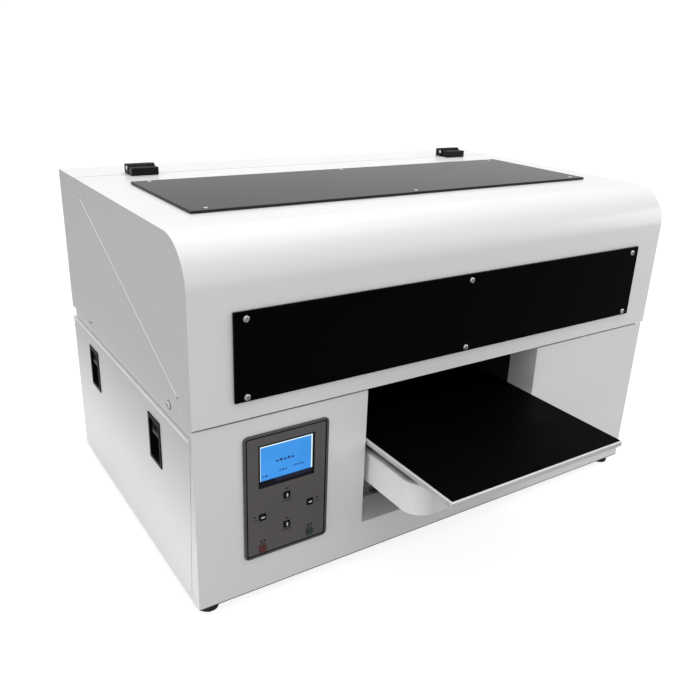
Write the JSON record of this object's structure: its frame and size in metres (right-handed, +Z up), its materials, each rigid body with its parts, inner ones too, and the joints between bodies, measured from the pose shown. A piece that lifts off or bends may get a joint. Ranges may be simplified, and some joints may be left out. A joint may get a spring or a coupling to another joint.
{
  "type": "flatbed uv printer",
  "caption": "Desktop flatbed UV printer: white sheet steel case, hinged hood with dark windows, keypad with blue screen, and a table that slides out and lifts.",
  "frame": {"origin": "on the floor, at the middle of the footprint of the case and its pulled-out table", "axes": "+X to the right along the case's long side, seen from the front; +Y from front to back; +Z up"},
  "size_m": [0.7026, 0.589, 0.4405],
  "materials": {
    "white_paint": "white powder coat, satin",
    "grey_paint": "grey powder coat, satin",
    "black_paint": "matt black paint",
    "black_plastic": "black moulded plastic, satin",
    "grey_film": "dark grey printed keypad film",
    "latch_plastic": "dark grey moulded plastic",
    "black_acrylic": "black acrylic sheet, gloss",
    "smoked_acrylic": "smoked acrylic sheet, gloss",
    "lcd_screen": "backlit blue liquid crystal screen",
    "black_rubber": "matt black rubber",
    "mat_rubber": "smooth black table mat",
    "steel": "ground bearing steel",
    "aluminium": "natural anodised aluminium",
    "circuit_board": "green solder mask",
    "ink_tank_plastic": "translucent moulded tank",
    "red_plastic": "red moulded rocker"
  },
  "bodies": {
    "base": {"base_floor_pan": "white_paint", "base_front_panel": "white_paint", "left_side_panel": "white_paint", "right_side_panel": "white_paint", "base_rear_panel": "white_paint", "deck_frame": "white_paint", "rear_housing": "white_paint", "tunnel_liner": "black_paint", "foot_front_left": "black_rubber", "foot_front_right": "black_rubber", "foot_rear_left": "black_rubber", "foot_rear_right": "black_rubber", "display_bezel": "grey_film", "control_board": "lcd_screen", "power_inlet": "black_plastic", "fan_frame": "black_plastic", "gantry_frame": "aluminium", "carriage_belt": "black_rubber", "carriage_motor": "black_plastic", "table_rail_left": "steel", "table_rail_right": "steel", "table_motor": "black_plastic", "capping_station": "grey_paint", "mainboard": "circuit_board", "power_supply": "steel", "ink_tank_bank": "ink_tank_plastic", "latch_housing_left_front": "black_plastic", "latch_housing_left_rear": "black_plastic", "latch_housing_right_front": "black_plastic", "latch_housing_right_rear": "black_plastic", "hinge_base_leaf_left": "black_plastic", "hinge_base_leaf_right": "black_plastic"},
    "hood": {"lid_shell": "white_paint", "front_window": "black_acrylic", "top_window": "smoked_acrylic", "hinge_lid_leaf_left": "black_plastic", "hinge_lid_leaf_right": "black_plastic"},
    "table_slide": {"table_carriage": "aluminium"},
    "table_top": {"table_housing": "white_paint", "table_plate": "aluminium", "table_mat": "mat_rubber"},
    "lift_screw": {"lift_screw": "steel"},
    "printhead": {"printhead_carriage": "grey_paint", "print_head": "black_plastic", "uv_lamp": "black_paint"},
    "carriage_motor_pulley": {"carriage_motor_pulley": "aluminium"},
    "carriage_idler_pulley": {"carriage_idler_pulley": "aluminium"},
    "table_drive_shaft": {"table_drive_shaft": "steel"},
    "power_switch": {"power_switch": "red_plastic"},
    "fan_rotor": {"fan_rotor": "black_plastic"},
    "button_up": {"button_up": "black_plastic"},
    "button_right": {"button_right": "black_plastic"},
    "button_left": {"button_left": "black_plastic"},
    "button_down": {"button_down": "black_plastic"},
    "button_escape": {"button_escape": "black_plastic"},
    "button_enter": {"button_enter": "black_plastic"},
    "latch_slider_left_front": {"latch_slider_left_front": "latch_plastic"},
    "latch_slider_left_rear": {"latch_slider_left_rear": "latch_plastic"},
    "latch_slider_right_front": {"latch_slider_right_front": "latch_plastic"},
    "latch_slider_right_rear": {"latch_slider_right_rear": "latch_plastic"}
  },
  "joints": [
    {"name": "hood_hinge", "type": "hinge", "parent": "base", "child": "hood", "pos_m": [0, 0.223, 0.435], "axis": [-1, 0, 0], "range_deg": [0, 75]},
    {"name": "table_travel", "type": "slide", "parent": "base", "child": "table_slide", "axis": [0, 1, 0], "range_m": [0, 0.25]},
    {"name": "table_lift", "type": "slide", "parent": "table_slide", "child": "table_top", "axis": [0, 0, 1], "range_m": [0, 0.042]},
    {"name": "lift_screw_spin", "type": "hinge", "parent": "table_slide", "child": "lift_screw", "pos_m": [0, -0.04, 0.1], "axis": [0, 0, 1], "range_deg": [-10, 770]},
    {"name": "printhead_travel", "type": "slide", "parent": "base", "child": "printhead", "axis": [-1, 0, 0], "range_m": [0, 0.42]},
    {"name": "carriage_motor_spin", "type": "hinge", "parent": "base", "child": "carriage_motor_pulley", "pos_m": [0.312, 0.047, 0.365], "axis": [0, 1, 0], "range_deg": [-10, 2300]},
    {"name": "carriage_idler_spin", "type": "hinge", "parent": "base", "child": "carriage_idler_pulley", "pos_m": [-0.312, 0.047, 0.365], "axis": [0, 1, 0], "range_deg": [-10, 2300]},
    {"name": "table_drive_spin", "type": "hinge", "parent": "base", "child": "table_drive_shaft", "pos_m": [0.02, 0.257, 0.036], "axis": [-1, 0, 0], "range_deg": [-10, 1720]},
    {"name": "power_rocker", "type": "hinge", "parent": "base", "child": "power_switch", "pos_m": [0.25, 0.2905, 0.0865], "axis": [-1, 0, 0], "range_deg": [0, 18]},
    {"name": "fan_spin", "type": "hinge", "parent": "base", "child": "fan_rotor", "pos_m": [-0.2, 0.28, 0.332], "axis": [0, 1, 0], "continuous": true},
    {"name": "button_up_press", "type": "slide", "parent": "base", "child": "button_up", "axis": [0, 1, 0], "range_m": [0, 0.001], "stiffness_N_per_m": 400, "springref_m": -0.0005},
    {"name": "button_right_press", "type": "slide", "parent": "base", "child": "button_right", "axis": [0, 1, 0], "range_m": [0, 0.001], "stiffness_N_per_m": 400, "springref_m": -0.0005},
    {"name": "button_left_press", "type": "slide", "parent": "base", "child": "button_left", "axis": [0, 1, 0], "range_m": [0, 0.001], "stiffness_N_per_m": 400, "springref_m": -0.0005},
    {"name": "button_down_press", "type": "slide", "parent": "base", "child": "button_down", "axis": [0, 1, 0], "range_m": [0, 0.001], "stiffness_N_per_m": 400, "springref_m": -0.0005},
    {"name": "button_escape_press", "type": "slide", "parent": "base", "child": "button_escape", "axis": [0, 1, 0], "range_m": [0, 0.001], "stiffness_N_per_m": 400, "springref_m": -0.0005},
    {"name": "button_enter_press", "type": "slide", "parent": "base", "child": "button_enter", "axis": [0, 1, 0], "range_m": [0, 0.001], "stiffness_N_per_m": 400, "springref_m": -0.0005},
    {"name": "latch_left_front_slide", "type": "slide", "parent": "base", "child": "latch_slider_left_front", "axis": [0, 0, -1], "range_m": [0, 0.008], "stiffness_N_per_m": 150, "springref_m": -0.005},
    {"name": "latch_left_rear_slide", "type": "slide", "parent": "base", "child": "latch_slider_left_rear", "axis": [0, 0, -1], "range_m": [0, 0.008], "stiffness_N_per_m": 150, "springref_m": -0.005},
    {"name": "latch_right_front_slide", "type": "slide", "parent": "base", "child": "latch_slider_right_front", "axis": [0, 0, -1], "range_m": [0, 0.008], "stiffness_N_per_m": 150, "springref_m": -0.005},
    {"name": "latch_right_rear_slide", "type": "slide", "parent": "base", "child": "latch_slider_right_rear", "axis": [0, 0, -1], "range_m": [0, 0.008], "stiffness_N_per_m": 150, "springref_m": -0.005}
  ],
  "couplings": [
    {"joint": "carriage_motor_spin", "follows": "printhead_travel", "rad_per_m": 93.458},
    {"joint": "carriage_idler_spin", "follows": "printhead_travel", "rad_per_m": 93.458},
    {"joint": "table_drive_spin", "follows": "table_travel", "rad_per_m": 117.65},
    {"joint": "lift_screw_spin", "follows": "table_lift", "rad_per_m": 314.16}
  ]
}
